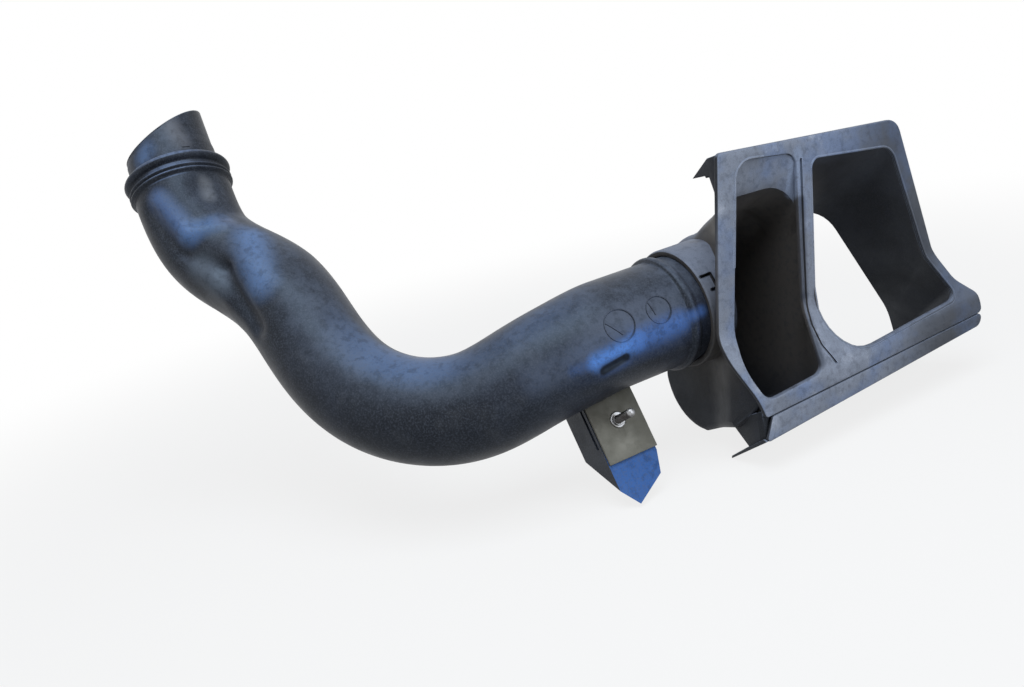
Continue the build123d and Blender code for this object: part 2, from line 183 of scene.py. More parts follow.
# Sleeve over the pipe's end: rim as (radius, place along it), and the slot round its snap tongue
SLEEVE_R, SLEEVE_BORE, SLEEVE_Y, SLEEVE_STEPS = 44.6, 40.1, 73, 96
SLEEVE_LEFT_Y, SLEEVE_FLARE, HOLE_Y = 90.6, 0.3, (60, 112)
SLEEVE_RIM = [(SLEEVE_R, 1.6), (44.3, 0.6), (43.6, 0), (41.2, 0), (40.4, 0.4), (SLEEVE_BORE, 1.4)]
LATCH_TURN = math.radians(30)
LATCH_OUT = Vector((math.cos(LATCH_TURN), 0, math.sin(LATCH_TURN)))
LATCH_ROUND = Vector((-math.sin(LATCH_TURN), 0, math.cos(LATCH_TURN)))
LATCH_DEEP = (36, 50)
LATCH_CUTS = [((75, 84), (4.6, 6.6)), ((78, 84), (-6.6, -4.6)), ((82.4, 84.4), (-6.6, 6.6))]
LATCH_LINE, LATCH_LINE_R = [(75, 5.6), (83.4, 5.6), (83.4, -5.6), (78.5, -5.6)], 44.2

# Strip of painted shade down the divider, and the wider strip there that has no painted rim highlights
DIVIDER_SHADE = [(42, 157, 118), (43, 147, 50), (60, 137, 6)]
DIVIDER_PLAIN = [(42, 158, 140), (43, 147, 50), (60, 137, 2)]

# Meshes: points closer than this many metres are merged, and edges above these degrees are sharp, or eased
MERGE, SHARP, BAR_SHARP, EASED = 2e-6, 38, 30, 35

# Faces of a box whose corners are listed with the last direction changing first
BOX_FACES = [(0, 1, 3, 2), (4, 6, 7, 5), (0, 4, 5, 1), (2, 3, 7, 6), (0, 2, 6, 4), (1, 5, 7, 3)]

# Camera as fitted to the photograph
CAMERA_AT, LENS, SENSOR = (540.1, -313.7, 240.7), 33.05, 36
CAMERA_RIGHT, CAMERA_UP = Vector((0.460, 0.859, -0.222)), Vector((-0.136, 0.315, 0.939))

# Light panels in metres: name, place, target, width, height, watts, tint
PANELS = [("overhead", (0.45, -0.25, 1.3), (-0.1, 0, 0.05), 1.0, 1.0, 24, (0.86, 0.93, 1.0)),
          ("front_panel", (1.15, 0.45, 0.45), (0, 0.1, 0.06), 0.5, 0.8, 7.5, (0.86, 0.93, 1.0)),
          ("left_fill", (0.1, -1.3, 0.6), (-0.15, -0.1, 0.1), 0.5, 0.7, 1.6, (0.95, 0.97, 1.0))]

# Floor in metres, and the soft shadow on it in mm
FLOOR_GAP, FLOOR_HALF = 0.0006, 6
SHADOW_AT, SHADOW_INNER, SHADOW_OUTER, SHADOW = (-100, 0), 350, 1100, 0.19


def mm(*v):
    """Place in metres from one in mm."""
    return Vector(v) / 1000


def lean(x, y, z):
    """Point in the stud's frame: along the stud, along the pipe, up the clip."""
    return STUD * x + SIDE * y + CLIP_UP * z


def latch(out, y, across):
    """Point by the snap tongue: distance from the pipe's axis, place along it, distance across the tongue."""
    return LATCH_OUT * out + LATCH_ROUND * across + Vector((AXIS_X, y, AXIS_Z))


def steps(items):
    """Each item of a list with the next one."""
    return list(zip(items, items[1:]))


def linear(c):
    """Linear share of an sRGB value from 0 to 255."""
    return ((c / 255 + 0.055) / 1.055) ** 2.4 if c > 10 else c / 255 / 12.92


def colour(r, g, b):
    """Linear colour from sRGB values 0 to 255."""
    return linear(r), linear(g), linear(b), 1.0


class Nodes:
    """A material, with short names for the shader nodes that it uses. Places and distances are in mm."""

    def __init__(self, name):
        self.mat = bpy.data.materials.new(name)
        self.mat.use_nodes = True
        self.tree = self.mat.node_tree
        self.bsdf = self.tree.nodes["Principled BSDF"]
        self.coords = self.add("ShaderNodeTexCoord", {}).outputs["Object"]
        self.geometry = self.add("ShaderNodeNewGeometry", {}).outputs

    def fill(self, node, inputs):
        """Links each of a node's inputs to a socket, or sets it to a plain value."""
        for key, value in inputs.items():
            if isinstance(value, bpy.types.NodeSocket):
                self.tree.links.new(value, node.inputs[key])
            else:
                node.inputs[key].default_value = value

    def add(self, kind, inputs, **settings):
        """New node with its settings and inputs."""
        node = self.tree.nodes.new(kind)
        for key, value in settings.items():
            setattr(node, key, value)
        self.fill(node, inputs)
        return node

    def noise(self, scale, detail=4.0, rough=0.55, stretch=(1, 1, 1), offset=(0, 0, 0)):
        """Noise fixed in the part's frame, its scale in cycles per metre."""
        place = self.add("ShaderNodeMapping", {"Vector": self.coords, "Scale": stretch, "Location": offset})
        inputs = {"Vector": place.outputs["Vector"], "Scale": scale, "Detail": detail, "Roughness": rough}
        return self.add("ShaderNodeTexNoise", inputs).outputs["Fac"]

    def remap(self, value, low, high, to_low=0.0, to_high=1.0):
        """Smooth step of a value from one range to another."""
        inputs = {"Value": value, "From Min": low, "From Max": high, "To Min": to_low, "To Max": to_high}
        return self.add("ShaderNodeMapRange", inputs, interpolation_type="SMOOTHSTEP").outputs["Result"]

    def math(self, operation, a, b):
        """Result of a sum, kept between 0 and 1."""
        return self.add("ShaderNodeMath", {0: a, 1: b}, operation=operation, use_clamp=True).outputs["Value"]

    def vector(self, operation, inputs, out="Vector"):
        """Result of a sum on vectors."""
        return self.add("ShaderNodeVectorMath", inputs, operation=operation).outputs[out]

    def dot(self, a, b):
        """How far one vector goes along another."""
        return self.vector("DOT_PRODUCT", {0: a, 1: b}, "Value")

    def times(self, product, *others):
        """Product of masks and plain shares."""
        for other in others:
            product = self.math("MULTIPLY", product, other)
        return product

    def mix(self, factor, a, b):
        """Colour between two colours."""
        node = self.add("ShaderNodeMix", {"Factor": factor, "A": a, "B": b}, data_type="RGBA")
        return node.outputs["Result"]

    def over(self, base, tint, *masks):
        """Colour with an sRGB tint laid over it, as far as the product of the masks says."""
        return self.mix(self.times(*masks), base, colour(*tint))

    def facing(self, direction, low, high):
        """Mask for faces that look along a direction of the part."""
        return self.remap(self.dot(self.geometry["Normal"], direction), low, high)

    def near(self, point, inner, outer):
        """Mask that is 1 within inner of a point and fades out at outer."""
        gap = self.vector("DISTANCE", {0: self.coords, 1: mm(*point)}, "Value")
        return self.remap(gap, inner / 1000, outer / 1000, 1.0, 0.0)

    def axis(self, name, low, high, to_low=0.0, to_high=1.0):
        """Mask that changes along an axis of the part, between two places."""
        place = self.add("ShaderNodeSeparateXYZ", {0: self.coords}).outputs[name]
        return self.remap(place, low / 1000, high / 1000, to_low, to_high)

    def along(self, a, b, inner, outer):
        """Mask that is 1 within inner of the line from a to b and fades out at outer."""
        a, b = mm(*a), mm(*b)
        run = b - a
        from_a = self.vector("SUBTRACT", {0: self.coords, 1: a})
        share = self.dot(from_a, run / run.length_squared)
        clamped = self.math("ADD", share, 0.0)
        nearest = self.vector("SCALE", {0: run, "Scale": clamped})
        gap = self.vector("LENGTH", {0: self.vector("SUBTRACT", {0: from_a, 1: nearest})}, "Value")
        return self.remap(gap, inner / 1000, outer / 1000, 1.0, 0.0)

    def band(self, point, direction, low, high):
        """Mask between two distances from a point along a direction, with soft ends of 1 mm."""
        gap = self.dot(self.vector("SUBTRACT", {0: self.coords, 1: mm(*point)}), direction)
        return self.times(self.remap(gap, (low - 1) / 1000, low / 1000),
                          self.remap(gap, high / 1000, (high + 1) / 1000, 1.0, 0.0))

    def rims(self, radius):
        """Mask for a narrow band along sharp edges."""
        soft = self.add("ShaderNodeBevel", {"Radius": radius / 1000}, samples=6)
        return self.remap(self.dot(soft.outputs["Normal"], self.geometry["Normal"]), 0.8, 0.98, 1.0, 0.0)

    def edges(self, low, high):
        """Mask for points that stand out."""
        return self.remap(self.geometry["Pointiness"], low, high)

    def dress(self, inputs, bumps):
        """Sets the surface shader's inputs and its chain of fine bumps: (height, strength, distance)."""
        self.fill(self.bsdf, inputs)
        below = {}
        for height, strength, distance in bumps:
            inputs = {"Height": height, "Strength": strength, "Distance": distance / 1000, **below}
            below = {"Normal": self.add("ShaderNodeBump", inputs).outputs["Normal"]}
        self.fill(self.bsdf, below)
        return self.mat


def pipe_plastic():
    """Matt black blow-moulded plastic with painted cool highlights and reflections where it faces up or
    forwards, painted highlights and shades in streaks, and a dusty grain.
    """
    n = Nodes("pipe_plastic")
    broad = n.noise(14, 3)
    cloud = n.noise(38, 5, 0.6, offset=(3, 1, 2))
    mottle = n.noise(170, 4, 0.65, offset=(1, 5, 2))
    grain = n.noise(820, 3, 0.6)
    base = n.mix(n.remap(broad, 0.38, 0.66), colour(28, 29, 33), colour(39, 42, 50))
    base = n.over(base, (62, 63, 66), n.remap(cloud, 0.5, 0.75), 0.45)
    # Painted highlight, patchy, where the pipe faces up
    up = n.facing((0.35, 0.05, 0.93), 0.5, 0.97)
    base = n.over(base, (80, 88, 103), up, n.remap(cloud, 0.3, 0.65, 0.4, 1.0), 0.5)
    ridges = n.band(SPIGOT_BASE, SPIGOT_DIR, -15, 5)
    lug_face = n.near(lean(LUG_FRONT, -2, -42), 24, 31)
    # Painted blue reflections near the collar and on the lug's face, painted highlights on the top, the
    # ridges and the front, and the streaks' painted highlights and shades, all broken up by mottle
    painted_light = [((56, 76, 116), 0.6, n.near((26, 14, 54), 12, 70), n.facing((0.98, -0.05, 0.02), 0.86, 1.0)),
              ((48, 88, 150), 0.95, lug_face, n.facing(STUD, 0.955, 0.992)),
              ((84, 106, 142), 0.7, n.near((-70, -75, 65), 50, 115), n.facing((0.40, 0.1, 0.9), 0.76, 1.0)),
              ((94, 108, 136), 0.7, ridges, n.facing((0.6, -0.2, 0.77), 0.74, 0.97)),
              ((84, 90, 104), 0.55, n.near((24, 10, 70), 20, 60), n.facing((0.9, 0, 0.43), 0.9, 1.0))]
    painted_light += [(tint, share, n.along(a, b, 0, reach)) for a, b, reach, tint, share in PIPE_STREAKS]
    wear_and_sheen = n.remap(mottle, 0.25, 0.6, 0.65, 1.0)
    for tint, share, *masks in painted_light:
        base = n.over(base, tint, *masks, wear_and_sheen, share)
    # Painted shade along the +Y side of each mould mark's raised ring
    for centre, _, r, _ in MARKS:
        ring_shade = n.math("SUBTRACT", n.near(centre, r + 0.2, r + 1.2), n.near(centre, r - 1.2, r - 0.2))
        base = n.over(base, (24, 26, 32), ring_shade, n.axis("Y", centre[1] - 2, centre[1] + 8), 0.8)
    base = n.over(base, (22, 23, 27), n.remap(mottle, 0.42, 0.66), 0.45)
    base = n.over(base, (76, 80, 90), n.remap(grain, 0.42, 0.72), 0.38)
    # Painted shade and dirt in the dimple by the collar
    base = n.over(base, (11, 12, 16), n.along((22, -16, 46.2), (24.8, 2, 50.4), 1.7, 4.0), 0.92)
    return n.dress({"Base Color": base, "Roughness": n.remap(cloud, 0.3, 0.7, 0.34, 0.48),
                    "Specular IOR Level": 0.15, "Specular Tint": (0.62, 0.8, 1.0, 1.0)},
                   [(broad, 0.25, 4), (mottle, 0.10, 0.6), (grain, 0.12, 0.2)])


def scoop_plastic():
    """Black moulded plastic, thick with pale dust and scuffs on the mouth flange, with painted reflections,
    highlights and shades.
    """
    n = Nodes("scoop_plastic")
    broad = n.noise(16, 4, offset=(5, 2, 1))
    cloud = n.noise(24, 4, 0.55, offset=(1, 7, 3))
    smear = n.noise(34, 5, 0.62, offset=(2, 2, 8))
    mottle = n.noise(190, 4, 0.65, offset=(6, 1, 2))
    grain = n.noise(1400, 2, 0.5)
    base = n.mix(n.remap(broad, 0.38, 0.66), colour(36, 36, 38), colour(50, 51, 55))
    base = n.over(base, (84, 79, 74), n.near((0, 135, 60), 60, 100), 0.75)

    # Mouth flange: worn grey dust, with blue clouds of painted reflection and pale smears, darker to the
    # right
    mouth = n.times(n.facing((1, 0, 0.05), 0.55, 0.88), n.axis("X", 31, 37))
    wear_and_sheen = n.times(mouth, n.axis("Y", 185, 255, 1.0, 0.2))
    base = n.over(base, (122, 127, 139), wear_and_sheen, n.remap(smear, 0.3, 0.62, 0.74, 0.97))
    painted_reflection = n.times(mouth, n.axis("Y", 185, 255, 1.0, 0.6))
    base = n.over(base, (82, 106, 148), painted_reflection, n.remap(cloud, 0.42, 0.64), 0.42)
    base = n.over(base, (164, 167, 177), wear_and_sheen, n.remap(smear, 0.55, 0.72), 0.65)

    # Dust on top and on the sleeve, then painted shade down the divider, a painted highlight on the window
    # wall, painted shade in the dark corner and along the latch slot
    base = n.over(base, (104, 111, 127), n.facing((0.1, 0, 1), 0.3, 0.9), n.remap(smear, 0.2, 0.5), 0.7)
    sleeve = n.times(n.near((8, 84, 92), 30, 56), n.facing((0.6, -0.3, 0.75), 0.2, 0.9))
    base = n.over(base, (104, 110, 124), sleeve, n.remap(smear, 0.25, 0.6, 0.45, 0.8))
    # Painted shade down the divider's left strip
    for a, b in steps(DIVIDER_SHADE):
        base = n.over(base, (40, 43, 52), n.along(a, b, 1.0, 5.5), 0.75)
    # Painted highlight on the left window's inner right wall, by the ramp
    base = n.over(base, (120, 130, 150), n.along((38, 160, 150), (36, 157, 124), 4, 8), 0.9)
    # Painted shade on the web's front in the corner below the flange
    base = n.over(base, (30, 31, 34), n.along((57, 82, -12), (57, 81, -33), 4.4, 5.2))
    # Painted shade along the latch slot's gaps
    for a, b in steps([latch(LATCH_LINE_R, y, across) for y, across in LATCH_LINE]):
        base = n.over(base, (12, 12, 14), n.along(a, b, 1.0, 1.7), 0.95)
    base = n.over(base, (40, 42, 50), n.remap(mottle, 0.46, 0.7), 0.35)

    # Painted highlights along the edges near the mouth, except on the divider and below the flange
    plain = 0.0
    for a, b in steps(DIVIDER_PLAIN):
        plain = n.math("MAXIMUM", plain, n.along(a, b, 4, 6))
    rims = n.times(n.rims(1.2), n.axis("X", 25, 37, 0.05, 1.0), n.axis("Z", -20, -12), 0.5)
    base = n.over(base, (150, 160, 182), rims, n.math("SUBTRACT", 1.0, plain))
    base = n.over(base, (70, 70, 74), n.remap(grain, 0.4, 0.7), 0.25)
    return n.dress({"Base Color": base, "Roughness": n.remap(smear, 0.3, 0.7, 0.46, 0.62),
                    "Specular IOR Level": 0.18, "Specular Tint": (0.7, 0.84, 1.0, 1.0)},
                   [(mottle, 0.12, 0.6), (grain, 0.14, 0.2)])


def clip_steel():
    """Dull steel strip with soot about the stud, brown and dark stains, and paler edges."""
    n = Nodes("clip_steel")
    stain = n.noise(70, 5, 0.6)
    bloom = n.noise(160, 4, 0.6, offset=(4, 4, 1))
    brush = n.noise(500, 3, 0.5, stretch=(1, 0.12, 1))
    base = n.mix(n.remap(stain, 0.34, 0.64), colour(42, 41, 38), colour(72, 71, 67))
    base = n.over(base, (58, 52, 45), n.remap(bloom, 0.52, 0.74), 0.45)
    base = n.over(base, (44, 41, 38), n.near(lean(0.5, -4, 2), 4, 16), 0.55)
    for y, z, reach, tint in ((-17, 11, 20, (30, 26, 23)), (18, -14, 16, (36, 34, 32)),
                              (-2, -19, 14, (104, 102, 96))):
        base = n.over(base, tint, n.near(lean(0, y, z), 2, reach), 0.7)
    base = n.over(base, (130, 127, 116), n.edges(0.52, 0.57), 0.4)
    return n.dress({"Base Color": base, "Roughness": n.remap(bloom, 0.35, 0.7, 0.5, 0.72),
                    "Metallic": 0.2, "Specular IOR Level": 0.2},
                   [(bloom, 0.2, 0.4), (brush, 0.12, 0.2)])


def stud_steel():
    """Bright steel, darker along the thread."""
    n = Nodes("stud_steel")
    stain = n.noise(220, 4, 0.6)
    base = n.mix(n.remap(stain, 0.38, 0.64), colour(96, 94, 92), colour(158, 158, 160))
    base = n.over(base, (46, 43, 41), n.along(STUD * 2, STUD * 19.8, 3.2, 3.6), 0.85)
    return n.dress({"Base Color": base, "Roughness": n.remap(stain, 0.35, 0.7, 0.28, 0.5), "Metallic": 0.9},
                   [(stain, 0.12, 0.3)])


def add_piece(name, mesh, material):
    """Piece of the part that rides on its one body."""
    obj = bpy.data.objects.new(name, mesh)
    scene.collection.objects.link(obj)
    mesh.materials.clear()
    mesh.materials.append(material)
    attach(obj, "root")
    return obj


@contextmanager
def edited(mesh):
    """A mesh opened as a bmesh, and written back at the end."""
    bm = bmesh.new()
    bm.from_mesh(mesh)
    yield bm
    bm.to_mesh(mesh)
    bm.free()


def evaluated(obj):
    """New mesh from an object as its modifiers or curve settings make it."""
    return bpy.data.meshes.new_from_object(obj.evaluated_get(bpy.context.evaluated_depsgraph_get()))


def shade(mesh, smooth):
    """Makes all faces of a mesh smooth or flat."""
    mesh.polygons.foreach_set("use_smooth", [smooth] * len(mesh.polygons))


def clean(mesh, angle=SHARP):
    """Mesh with its points merged, its faces turned out and its edges sharp above an angle."""
    with edited(mesh) as bm:
        bmesh.ops.remove_doubles(bm, verts=bm.verts, dist=MERGE)
        bmesh.ops.recalc_face_normals(bm, faces=bm.faces)
    shade(mesh, True)
    mesh.set_sharp_from_angle(angle=math.radians(angle))
    return mesh


def joined(name, meshes):
    """One mesh of several."""
    out = bpy.data.meshes.new(name)
    with edited(out) as bm:
        for mesh in meshes:
            bm.from_mesh(mesh)
    return out


def add_bands(bm, pairs):
    """Faces between pairs of rings with the same number of points."""
    for a, b in pairs:
        for i in range(len(a)):
            j = (i + 1) % len(a)
            bm.faces.new((a[i], a[j], b[j], b[i]))


def skin_mesh(name, rows, closed):
    """Smooth skin over a stack of rings, joined end to end where closed and capped otherwise."""
    mesh = bpy.data.meshes.new(name)
    with edited(mesh) as bm:
        rings = [[bm.verts.new(p / 1000) for p in row] for row in rows]
        add_bands(bm, steps(rings))
        if closed:
            add_bands(bm, [(rings[-1], rings[0])])
        else:
            bm.faces.new(rings[0])
            bm.faces.new(list(reversed(rings[-1])))
        bmesh.ops.recalc_face_normals(bm, faces=bm.faces)
    shade(mesh, True)
    return mesh


def shell(name, outer, inner, capped):
    """Closed wall between an outer and an inner stack of rings that start at the mouth."""
    mesh = bpy.data.meshes.new(name)
    with edited(mesh) as bm:
        stacks = [[[bm.verts.new(p / 1000) for p in row] for row in rows] for rows in (outer, inner)]
        pairs = [pair for rows in stacks for pair in steps(rows)]
        pairs.append((stacks[0][0], stacks[1][0]))
        if capped:
            for rows in stacks:
                bm.faces.new(rows[-1])
        else:
            pairs.append((stacks[0][-1], stacks[1][-1]))
        add_bands(bm, pairs)
    return clean(mesh)


def block(name, place, xs, ys, zs):
    """Box between three spans, in the frame that place gives."""
    mesh = bpy.data.meshes.new(name)
    mesh.from_pydata([place(x, y, z) / 1000 for x in xs for y in ys for z in zs], [], BOX_FACES)
    return mesh


def carved(name, mesh, cutters, bevel):
    """Mesh with other meshes cut out of it and its edges eased."""
    obj = bpy.data.objects.new(name + "_work", mesh)
    tools = [bpy.data.objects.new(f"{name}_tool_{i}", cutter) for i, cutter in enumerate(cutters)]
    for o in [obj] + tools:
        scene.collection.objects.link(o)
    for tool in tools:
        cut = obj.modifiers.new("cut", "BOOLEAN")
        cut.operation, cut.object, cut.solver = "DIFFERENCE", tool, "EXACT"
    if bevel:
        ease = obj.modifiers.new("ease", "BEVEL")
        ease.width, ease.segments = bevel / 1000, 2
        ease.limit_method, ease.angle_limit = "ANGLE", math.radians(EASED)
    out = evaluated(obj)
    for o in [obj] + tools:
        bpy.data.objects.remove(o)
    return out


def flat_bar(rows, bevel):
    """Flat-sided solid between two outlines, its edges eased."""
    mesh = skin_mesh("bar", rows, False)
    shade(mesh, False)
    return clean(carved("bar", mesh, [], bevel), BAR_SHARP)


def prism(points, y0, y1, tilt=0.0, foot=(0, 0, 0), bevel=0.5):
    """Bar with an XZ outline, tilted along the pipe's axis about its foot."""
    turn = Matrix.Rotation(math.radians(tilt), 3, "X")
    return flat_bar([[turn @ Vector((x, y, z)) + Vector(foot) for x, z in points] for y in (y0, y1)], bevel)


def curve_mesh(name, loops, closed, **settings):
    """Mesh of a curve with the given settings, through loops of points in metres."""
    curve = bpy.data.curves.new(name, "CURVE")
    for key, value in settings.items():
        setattr(curve, key, value)
    for loop in loops:
        line = curve.splines.new("POLY")
        line.points.add(len(loop) - 1)
        line.use_cyclic_u = closed
        for q, p in zip(line.points, loop):
            q.co = (*p, 1)
    obj = bpy.data.objects.new(name + "_work", curve)
    scene.collection.objects.link(obj)
    mesh = evaluated(obj)
    bpy.data.objects.remove(obj)
    return mesh


def tube_mesh(name, points, radius, closed):
    """Round bar of a radius in mm along points in metres."""
    mesh = curve_mesh(name, [points], closed, dimensions="3D", bevel_depth=radius / 1000, bevel_resolution=2,
                      use_fill_caps=True)
    shade(mesh, True)
    return mesh


def plate(name, loops, thick, rim):
    """Flat plate with holes and a rounded rim, drawn across the mouth."""
    flat = [[(p.x / 1000, p.y / 1000, 0) for p in loop] for loop in loops]
    mesh = curve_mesh(name, flat, True, dimensions="2D", fill_mode="BOTH", extrude=(thick / 2 - rim) / 1000,
                      bevel_depth=rim / 1000, offset=-rim / 1000, bevel_resolution=2)
    with edited(mesh) as bm:
        bmesh.ops.remove_doubles(bm, verts=bm.verts, dist=MERGE)
    return mesh


def clamped_spline(points, first, last):
    """Smooth line through points with set end directions: gives place and heading at a chord length."""
    p = np.array(points, float)
    h = np.linalg.norm(np.diff(p, axis=0), axis=1)
    knots = np.concatenate([[0], np.cumsum(h)])
    n = len(p)
    a, b = np.zeros((n, n)), np.zeros((n, 3))
    a[0, 0] = a[-1, -1] = 1
    b[0], b[-1] = first, last
    for i in range(1, n - 1):
        a[i, i - 1:i + 2] = h[i], 2 * (h[i - 1] + h[i]), h[i - 1]
        b[i] = 3 * (h[i - 1] / h[i] * (p[i + 1] - p[i]) + h[i] / h[i - 1] * (p[i] - p[i - 1]))
    m = np.linalg.solve(a, b)

    def at(s):
        i = min(int(np.searchsorted(knots, s, "right")) - 1, n - 2)
        t, k = (s - knots[i]) / h[i], h[i]
        place = ((1 + 2 * t) * (1 - t) ** 2 * p[i] + t * (1 - t) ** 2 * k * m[i]
                 + t * t * (3 - 2 * t) * p[i + 1] + t * t * (t - 1) * k * m[i + 1])
        slope = ((6 * t * t - 6 * t) / k * (p[i] - p[i + 1])
                 + (3 * t * t - 4 * t + 1) * m[i] + (3 * t * t - 2 * t) * m[i + 1])
        return Vector(place), Vector(slope).normalized()

    return at, knots


def ridge(d, centre, half, height):
    """Height of a half-round ridge at a distance down the pipe."""
    x = abs(d - centre) / half
    return height * math.sqrt(1 - x * x) if x < 1 else 0.0


class Stations:
    """Rings down the pipe. Distance runs from 0 at the scoop end to the top of the spigot."""

    def __init__(self):
        self.at, self.knots = clamped_spline([p[:3] for p in PIPE_PATH], -SIDE, SPIGOT_DIR)
        self.straight = PIPE_END_Y - BEND_Y
        self.base = self.straight + self.knots[-1]

    def frame(self, d):
        """Place on the centreline and two directions across it."""
        if d < self.straight:
            place, z = Vector((AXIS_X, PIPE_END_Y - d, AXIS_Z)), -SIDE
        elif d < self.base:
            place, z = self.at(d - self.straight)
        else:
            place, z = Vector(SPIGOT_BASE) + SPIGOT_DIR * (d - self.base), SPIGOT_DIR
        x = (RING_START - z * RING_START.dot(z)).normalized()
        return place, x, z.cross(x)

    def radius(self, d):
        """Outside radius without bead, rib or ridge."""
        if d < self.straight:
            return PIPE_R
        if d < self.base:
            return float(np.interp(d - self.straight, self.knots, [p[3] for p in PIPE_PATH]))
        return SPIGOT_R - LEAD_IN * min(1, max(0, (d - self.base - SEAT_LEN + LEAD_BELOW) / LEAD_RUN))

    def outside(self, d):
        """Outside radius with the collar bead, the double rib and the large ridge below the spigot."""
        r = self.radius(d) + ridge(d, BEAD_AT, BEAD_HALF, BEAD_RISE)
        r += sum(ridge(d, self.base - drop, RIB_HALF, RIB_RISE) for drop in RIB_DROPS)
        return max(r, RIDGE_FOOT_R + ridge(d, self.base, RIDGE_HALF, RIDGE_RISE))

    def ring(self, d, r):
        """Points round the centreline at a distance down the pipe."""
        place, x, y = self.frame(d)
        turns = [2 * math.pi * i / COLUMNS for i in range(COLUMNS)]
        return [place + (x * math.cos(t) + y * math.sin(t)) * r for t in turns]

    def distances(self, step, fine):
        """Even steps, closer together at the bead and the ridges."""
        d, out = 0.0, []
        while d < self.base + SEAT_LEN:
            out.append(d)
            close = abs(d - BEAD_AT) < BEAD_NEAR or self.base - RIB_BELOW < d < self.base + RIDGE_ABOVE
            d += fine if close else step
        return out


def cut_height(point):
    """Height above the spigot's base at which the slanting cut passes over a point."""
    x_axis = SIDE.cross(SPIGOT_DIR)
    y_axis = SPIGOT_DIR.cross(x_axis)
    v = point - Vector(SPIGOT_BASE)
    x, y = v.dot(x_axis), v.dot(y_axis)
    slope = (SPIGOT_LONG - SPIGOT_SHORT) / (2 * SPIGOT_R)
    return (SPIGOT_LONG + SPIGOT_SHORT) / 2 + slope * (math.cos(CUT_TURN) * y - math.sin(CUT_TURN) * x)


def spigot_ring(stations, r, share, drop=0):
    """Ring a share of the way from the seat up to the slanting cut, less a drop."""
    flat = stations.ring(stations.base, r)
    return [p + SPIGOT_DIR * (SEAT_LEN + (cut_height(p) - SEAT_LEN) * share - drop) for p in flat]


def pipe_skin(stations):
    """Closed wall of the pipe: outside, slanting rim, inside."""
    tip, bore = SPIGOT_R - LEAD_IN, SPIGOT_R - WALL
    rows = [stations.ring(d, stations.outside(d)) for d in stations.distances(RING_STEP, FINE_STEP)]
    rows += [spigot_ring(stations, tip, k / CUT_ROWS) for k in range(1, CUT_ROWS)]
    rim = [(tip, 0.9), (tip - 0.15, 0.4), (tip - 0.5, 0.1), (tip - 1.0, 0), (bore + 0.5, 0.1), (bore, 0.7)]
    rows += [spigot_ring(stations, r, 1, drop) for r, drop in rim]
    rows += [spigot_ring(stations, bore, k / CUT_BORE_ROWS) for k in range(CUT_BORE_ROWS - 1, 0, -1)]
    top = stations.base + SEAT_LEN - BORE_SHORT
    for d in reversed([d for d in stations.distances(BORE_STEP, BORE_STEP) if d < top]):
        r = stations.radius(d) - WALL
        rows.append(stations.ring(d, min(r, bore) if d > stations.base - BORE_BELOW else r))
    return skin_mesh("pipe_skin", rows, True)


def press(mesh, a, b, radius, push):
    """Moves the skin near the line from a to b, fading out over a radius."""
    co = np.empty(len(mesh.vertices) * 3, np.float32)
    mesh.vertices.foreach_get("co", co)
    co = co.reshape(-1, 3)
    a, b, push = (np.array(v, float) / 1000 for v in (a, b, push))
    ab = b - a
    t = np.clip(((co - a) @ ab) / (ab @ ab), 0, 1)
    d = np.linalg.norm(co - a - t[:, None] * ab, axis=1)
    co += np.exp(-((d * 1000 / radius) ** 2))[:, None] * push
    mesh.vertices.foreach_set("co", co.astype(np.float32).ravel())
    mesh.update()


def no_flaps(mesh):
    """Mesh without the two-sided slivers that a cut can leave."""
    with edited(mesh) as bm:
        bmesh.ops.remove_doubles(bm, verts=bm.verts, dist=1e-6)
        bmesh.ops.triangulate(bm, faces=bm.faces)
        same = {}
        for f in bm.faces:
            same.setdefault(frozenset(v.index for v in f.verts), []).append(f)
        flaps = [f for group in same.values() if len(group) > 1 for f in group]
        bmesh.ops.delete(bm, geom=flaps, context="FACES")
    return mesh


def lug_mesh(stations):
    """Lug under the pipe: tapers back and up, with the slot for the clip's rear leg."""
    rows = [[lean(x, y, z + share * rise) for y, z, share in LUG_OUTLINE] for x, rise in LUG_ENDS]
    body = skin_mesh("lug", rows, False)
    shade(body, False)
    core = [stations.ring(d, stations.radius(d) - WALL / 2) for d in LUG_CORE]
    cutters = [skin_mesh("core", core, False)]
    cutters += [block(name, lean, *spans) for name, spans in (("slot", CLIP_SLOT), ("notch", CLIP_NOTCH))]
    return no_flaps(carved("lug", body, cutters, LUG_EASE))


def ray_tree(mesh):
    """Search tree of a mesh, for dropping points onto it."""
    return BVHTree.FromPolygons([v.co for v in mesh.vertices], [p.vertices for p in mesh.polygons])


def raised_line(name, tree, centre, normal, points, radius, closed):
    """Thin raised line on a surface: flat points about a centre are dropped onto it along the normal."""
    normal = Vector(normal).normalized()
    u = (SIDE - normal * normal.dot(SIDE)).normalized()
    v = normal.cross(u)
    above = normal * MARK_DROP / 1000
    path = []
    for x, y in points:
        start = mm(*centre) + u * x / 1000 + v * y / 1000 + above
        path.append(tree.ray_cast(start, -normal)[0] or start - above)
    return tube_mesh(name, path, radius, closed)


def circle(radius):
    """Points round a flat ring."""
    turns = [2 * math.pi * i / MARK_STEPS for i in range(MARK_STEPS)]
    return [(radius * math.cos(t), radius * math.sin(t)) for t in turns]


def kick(z):
    """Front of the mouth flange at a height: flat above, kicked forward below, with soft knees."""
    return sum(np.interp(z + d, [0, KNEE_Z], [FOOT_X, MOUTH_X]) for d in KNEE_SPREAD) / len(KNEE_SPREAD)


